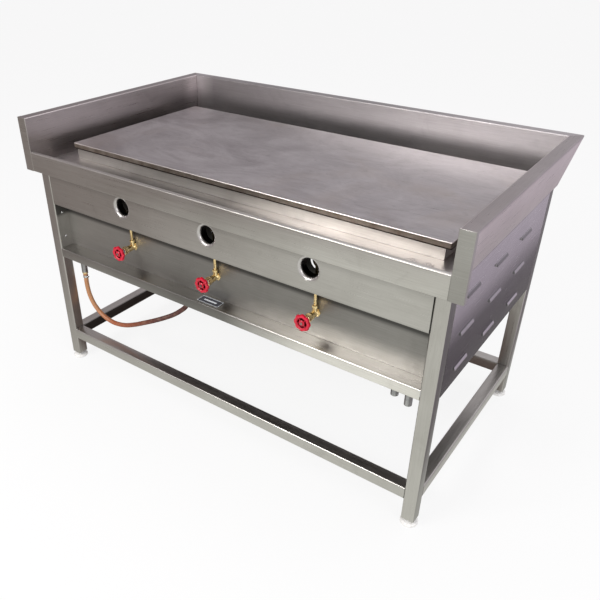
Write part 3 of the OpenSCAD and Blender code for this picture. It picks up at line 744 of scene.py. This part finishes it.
def make_splash():
    """Side and rear walls as folded sheets, mitred at the rear corners."""
    low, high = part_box("splash_right")
    inner, outer, top, front, rear = low.x, high.x, high.z, low.y, high.y
    floor_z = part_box("tray_floor")[0].z
    skirt_x = inner + SKIRT_OUT
    corner_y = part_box("splash_rear")[1].y - (outer - inner) + SHEET

    def mitre(x):
        return corner_y + (abs(x) - inner) * (rear - corner_y) / (outer - inner)

    loop = folded([(inner, floor_z), (inner, top), (outer, top), (skirt_x, low.z)],
                  FOLD, -SHEET, 5)
    for name, s in (("left", -1), ("right", 1)):
        part = extrude(loop, lambda x, z: (s * x, front, z), lambda x, z: (s * x, mitre(x), z))
        obj = piece(f"splash_{name}_sheet", [part], "stainless", material=WALL_SIDE,
                    replaces=[f"splash_{name}"])
        soften(obj, SOFT_EDGE)
    low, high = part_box("splash_rear")
    skirt_y = corner_y + SKIRT_OUT

    def end(y):
        return inner + (y - corner_y) * (outer - inner) / (rear - corner_y) - MITRE_GAP

    loop = folded([(corner_y, floor_z), (corner_y, top), (high.y, top), (skirt_y, low.z)],
                  FOLD, -SHEET, 5)
    part = extrude(loop, lambda y, z: (-end(y), y, z), lambda y, z: (end(y), y, z))
    strip_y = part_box("rear_panel")[1].y
    strip = folded([(strip_y, low.z + SHEET), (skirt_y - SHEET, low.z + SHEET)], 0, -SHEET)
    obj = piece("splash_rear_sheet", [part, along_x(strip, -inner, inner)], "stainless",
                material=WALL_REAR, replaces=["splash_rear"])
    soften(obj, SOFT_EDGE)


def make_plate():
    """The cooking plate with dressed corners and edges."""
    corner, arris = 5 * MM, 1.5 * MM
    loop = rounded(rectangle(PLATE_LOW, PLATE_HIGH), corner, 5)
    part = extrude(loop, lambda x, y: (x, y, PLATE_LOW.z), lambda x, y: (x, y, PLATE_HIGH.z))
    obj = piece("griddle_plate_ground", [part], "plate_steel", replaces=["griddle_plate"])
    soften(obj, arris)


# ---------- gas controls ----------

BACK = (0, 1, 0)
UP = (0, 0, 1)


def wheel_lobes(angle):
    """Scalloped rim: eight soft lobes."""
    return 1 - 0.105 * (0.5 - 0.5 * math.cos(8 * angle)) ** 1.6


def make_handwheels():
    for side in SIDES:
        low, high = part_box("knob_" + side)
        x, z = (low.x + high.x) / 2, (low.z + high.z) / 2
        r, t = (high.x - low.x) / 2 - 0.1 * MM, high.y - low.y
        front = (x, low.y, z)
        rim = lathe([(3.2 * MM, 0.60 * r), (0.8 * MM, 0.68 * r), (0, 0.76 * r), (0, 0.86 * r),
                     (0.9 * MM, 0.95 * r), (2.8 * MM, r), (t - 5.5 * MM, r),
                     (t - 3.8 * MM, 0.95 * r), (t - 3.1 * MM, 0.84 * r),
                     (t - 4.6 * MM, 0.60 * r)], front, BACK, 96, wheel_lobes)
        web = lathe([(3.2 * MM, 0.30 * r), (3.2 * MM, 0.62 * r), (t - 4.6 * MM, 0.62 * r),
                     (t - 4.6 * MM, 0.30 * r)], front, BACK, 48)
        hub = lathe([(0.6 * MM, 5.2 * MM), (0.6 * MM, 7.6 * MM), (1.4 * MM, 8.6 * MM),
                     (t - 1 * MM, 9 * MM), (t, 8 * MM), (t, 5 * MM)], front, BACK, 32)
        ribs = []
        for k in range(4):
            a = math.pi / 4 + k * math.pi / 2
            out = Vector((math.cos(a), 0, math.sin(a)))
            start = Vector(front) + Vector((0, 3.4 * MM, 0)) + out * 7.5 * MM
            ribs.append(lathe([(0, 1.6 * MM), (0.38 * r, 1.2 * MM)], start, out, 12))
        piece(f"handwheel_{side}_wheel", [rim, web, hub] + ribs, "red_plastic",
              f"handwheel_{side}", [f"knob_{side}"])
        s_low, s_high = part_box("spindle_" + side)
        rod = bar((x, s_low.y + 1 * MM, z), BACK, s_high.y - s_low.y - 1 * MM, 3.95 * MM)
        nut = hexagon((x, s_low.y + 0.2 * MM, z), BACK, 3 * MM, 7 * MM)
        tip = lathe([(0, 1.6 * MM), (0, 2.9 * MM), (1.2 * MM, 3.9 * MM)], (x, s_low.y, z),
                    BACK, 20)
        piece(f"spindle_{side}_rod", [rod, nut, tip], "chrome", f"handwheel_{side}",
              [f"spindle_{side}"], SPINDLE_PAINTED_SHADE)


def make_valves():
    """Brass valve bodies with stepped barrels, wrench flats, threads and risers."""
    low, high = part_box("valve_bodies")
    panel_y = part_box("valve_panel")[0].y
    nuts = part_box("gland_nuts")
    riser_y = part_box("gas_jets")[0].y + 6 * MM
    tail_y = panel_y + 47 * MM
    brass, plated = [], []
    for side in SIDES:
        s_low, s_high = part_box("spindle_" + side)
        x, z = (s_low.x + s_high.x) / 2, (s_low.z + s_high.z) / 2
        start = low.y
        brass.append(hexagon((x, start, z), BACK, 13 * MM, 22 * MM))
        brass.append(lathe([(13 * MM, 8.5 * MM), (14 * MM, 8.5 * MM), (16 * MM, 9.8 * MM),
                            (30 * MM, 9.8 * MM), (32 * MM, 8.2 * MM), (35 * MM, 8.2 * MM)],
                           (x, start, z), BACK))
        brass.append(thread((x, start + 35 * MM, z), BACK, 8 * MM, 8.6 * MM))
        brass.append(hexagon((x, panel_y + 43 * MM, z), BACK, 3 * MM, 24 * MM))
        brass.append(bar((x, tail_y, z), BACK, high.y - tail_y, 6.9 * MM))
        brass.append(lathe([(0, 7 * MM), (18 * MM, 7 * MM), (20 * MM, 6.2 * MM)],
                           (x, riser_y, z), UP))
        brass.append(hexagon((x, riser_y, z + 18 * MM), UP, 7 * MM, 14 * MM))
        brass.append(bar((x, riser_y, z + 24 * MM), UP, high.z - z - 24 * MM, 4.4 * MM))
        plated.append(hexagon((x, nuts[0].y, z), BACK, nuts[1].y - nuts[0].y, 17 * MM, 1 * MM))
        plated.append(lathe([(0, 5.2 * MM), (1.2 * MM, 7.2 * MM), (2 * MM, 7.4 * MM)],
                            (x, nuts[0].y - 0.2 * MM, z), BACK))
    piece("valve_bodies_turned", brass, "brass", replaces=["valve_bodies"])
    piece("gland_nuts_plated", plated, "chrome", replaces=["gland_nuts"])


def make_clamps():
    """Worm-drive clamps round the hose ends: band, housing and hexagonal screw head."""
    low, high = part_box("hose_clamps")
    parts = []
    width = 9 * MM
    r = HOSE_D / 2 + 0.3 * MM
    for end, z in ((HOSE_PATH[0], low.z), (HOSE_PATH[-1], high.z - width)):
        centre = Vector((end[0] * MM, end[1] * MM, z))
        parts.append(lathe([(0, r), (0, r + 0.9 * MM), (1.2 * MM, r + 0.6 * MM),
                            (width - 1.2 * MM, r + 0.6 * MM), (width, r + 0.9 * MM), (width, r)],
                           centre, UP, 40))
        side = centre + Vector((r + 4 * MM, 0, width / 2))
        parts.append(bar(side + Vector((0, -2.9 * MM, 0)), BACK, 5.8 * MM, 3.2 * MM))
        parts.append(hexagon(side + Vector((1.4 * MM, -2.9 * MM, 0)), BACK, 2 * MM, 5.6 * MM))
    return piece("hose_clamps_worm", parts, "chrome", replaces=["hose_clamps"])


def make_nipples():
    """A hexagon with a threaded stub above it, at each end of the hose."""
    parts = []
    rise = 6 * MM
    for end in (HOSE_PATH[0], HOSE_PATH[-1]):
        base = Vector(end) * MM
        parts.append(hexagon(base, UP, rise, 18 * MM))
        parts.append(thread(base + Vector((0, 0, rise)), UP, 12 * MM, 6 * MM))
    piece("hose_nipples_brass", parts, "brass", replaces=["hose_nipples"])


def make_screws():
    """Recessed dome screws in the cheeks of the valve panel."""
    low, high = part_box("panel_screws")
    head_y, in_from_end = (low.y + high.y) / 2, 4.5 * MM
    dome = [(0, 4.4 * MM), (0.8 * MM, 4.4 * MM), (1.8 * MM, 3.6 * MM), (2.5 * MM, 2.2 * MM),
            (2.5 * MM, 1.0 * MM), (1.6 * MM, 0.8 * MM)]
    screws = []
    for face, inward in ((low.x, 1), (high.x, -1)):
        for z in (low.z + in_from_end, high.z - in_from_end):
            screws.append(lathe(dome, (face, head_y, z), (inward, 0, 0), 24))
    piece("panel_screws_domed", screws, "chrome", replaces=["panel_screws"])


def make_label():
    """The label plate, with a pale raised rim and a plain pale bar."""
    low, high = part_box("nameplate")
    face_z = low.z + 0.7 * MM
    loop = rounded(rectangle(low, high), 3 * MM)
    base = extrude(loop, lambda x, y: (x, y, low.z), lambda x, y: (x, y, face_z))
    hole = rounded(rectangle(low, high, 1.5 * MM), 2 * MM)
    n = len(loop)
    rim_verts = [(x, y, z) for z in (face_z, high.z) for x, y in loop + hole]
    rim_faces = []
    for i in range(n):
        j = (i + 1) % n
        rim_faces += [(i, j, j + 2 * n, i + 2 * n), (i + n, j + n, j + 3 * n, i + 3 * n),
                      (i + 2 * n, j + 2 * n, j + 3 * n, i + 3 * n)]
    middle = (low + high) / 2
    half = Vector((0.30 * (high.x - low.x), 0.10 * (high.y - low.y), 0))
    stripe = extrude(rounded(rectangle(middle - half, middle + half), 1 * MM),
                     lambda x, y: (x, y, low.z + 0.5 * MM), lambda x, y: (x, y, low.z + 0.9 * MM))
    piece("nameplate_face", [base], "label", replaces=["nameplate"])
    piece("nameplate_rim", [(rim_verts, rim_faces), stripe], "label", material=PALE_PRINT)


# ---------- stage ----------

FLOOR_SIZE = 60
# Painted reflection map, shown by the floor to glossy rays only: dim brownish to the left, pale to
# the right, painted shade under the table, dark close beside the right side and pale farther out.
REFLECTION_LEFT, REFLECTION_RIGHT = (0.31, 0.27, 0.255), (0.84, 0.85, 0.80)
UNDER_TABLE_SHADE = (0.12, 0.085, 0.075)
SIDE_DARK, SIDE_LIGHT = (0.13, 0.10, 0.12), (0.66, 0.60, 0.67)


def floor_paint():
    """White sweep with soft shadows; to glossy rays it shows a glowing painted reflection map
    instead, with painted shade under and beside the table.
    """
    p = Paint("floor", (0.9, 0.9, 0.9), 1.0)
    p.shader.inputs["Specular IOR Level"].default_value = 0.0
    x, y = p.axis("x"), p.axis("y")
    front = p.mix(p.range(x, -1.6, -0.1, 0, 1), REFLECTION_LEFT, REFLECTION_RIGHT)
    side = p.mix(p.range(x, 0.96, 1.07, 0, 1), SIDE_DARK, SIDE_LIGHT)
    beside = p.math("MULTIPLY", p.range(x, 0.72, 0.9, 0, 1), p.range(y, -0.45, -0.25, 0, 1))
    under = p.math("MULTIPLY", p.range(p.math("ABSOLUTE", x, 0), 0.66, 0.74, 1, 0),
                   p.range(y, -0.40, -0.30, 0, 1))
    shown = p.mix(under, p.mix(beside, front, side), UNDER_TABLE_SHADE)
    mirrored = p.node("ShaderNodeEmission", Color=shown, Strength=1.0)
    glow = p.node("ShaderNodeEmission", Color=(1, 1, 1, 1), Strength=0.98)
    white = p.node("ShaderNodeMixShader", Fac=0.88)
    p.tree.links.new(p.shader.outputs[0], white.inputs[1])
    p.tree.links.new(glow.outputs[0], white.inputs[2])
    both = p.node("ShaderNodeMixShader", Fac=p.node("ShaderNodeLightPath").outputs["Is Glossy Ray"])
    p.tree.links.new(white.outputs[0], both.inputs[1])
    p.tree.links.new(mirrored.outputs[0], both.inputs[2])
    p.tree.links.new(both.outputs[0], p.tree.nodes["Material Output"].inputs["Surface"])
    return p.material


def make_stage():
    corners = [(sx * FLOOR_SIZE, sy * FLOOR_SIZE, 0)
               for sx, sy in ((-1, -1), (1, -1), (1, 1), (-1, 1))]
    mesh = mesh_from("floor", corners, [(0, 1, 2, 3)], smooth=False)
    mesh.materials.append(floor_paint())
    floor = bpy.data.objects.new("floor", mesh)
    bpy.context.scene.collection.objects.link(floor)


def area_light(name, at, aim, size, power, colour=(1, 1, 1)):
    data = bpy.data.lights.new(name, "AREA")
    data.shape = "RECTANGLE"
    data.size, data.size_y = size
    data.energy = power
    data.color = colour
    light = bpy.data.objects.new(name, data)
    light.location = at
    light.rotation_euler = (Vector(aim) - Vector(at)).to_track_quat("-Z", "Y").to_euler()
    bpy.context.scene.collection.objects.link(light)


def make_world():
    """White to the camera; dimmer and brownish to the left where the steel mirrors it."""
    world = bpy.data.worlds.new("studio")
    bpy.context.scene.world = world
    world.use_nodes = True
    tree = world.node_tree
    link = tree.links.new
    way = tree.nodes.new("ShaderNodeSeparateXYZ")
    link(tree.nodes.new("ShaderNodeTexCoord").outputs["Generated"], way.inputs[0])
    sideways = tree.nodes.new("ShaderNodeMapRange")
    link(way.outputs["X"], sideways.inputs[0])
    for i, value in enumerate((-0.85, 0.1, 0.0, 1.0)):
        sideways.inputs[i + 1].default_value = value
    dim = tree.nodes.new("ShaderNodeMix")
    dim.data_type = "RGBA"
    link(sideways.outputs[0], dim.inputs[0])
    dim.inputs[6].default_value = (0.36, 0.32, 0.33, 1)
    dim.inputs[7].default_value = (0.74, 0.72, 0.75, 1)
    pick = tree.nodes.new("ShaderNodeMix")
    pick.data_type = "RGBA"
    link(tree.nodes.new("ShaderNodeLightPath").outputs["Is Camera Ray"], pick.inputs[0])
    link(dim.outputs[2], pick.inputs[6])
    pick.inputs[7].default_value = (0.98, 0.98, 0.98, 1)
    link(pick.outputs[2], tree.nodes["Background"].inputs["Color"])


def make_light():
    make_world()
    area_light("window", (-1.0, -3.0, 2.6), (0.45, -0.2, 0.75), (1.5, 0.8), 80, (1, 0.99, 0.96))
    area_light("right", (3.2, -1.6, 2.4), (0.6, 0, 0.5), (2.0, 2.0), 34)
    area_light("top", (0.2, 0.6, 3.4), (0, 0, 0.8), (3.0, 1.6), 25)
    bpy.context.scene.view_settings.view_transform = "Standard"


# ---------- the scene ----------

make_camera()
make_hose(SLOT_PAINT["hose_rubber"], make_clamps())
paint_cad()
soften_cad()
make_nipples()
make_stand()
make_welds()
make_ledge()
make_apron()
make_splash()
make_plate()
make_handwheels()
make_valves()
make_screws()
make_label()
make_stage()
make_light()
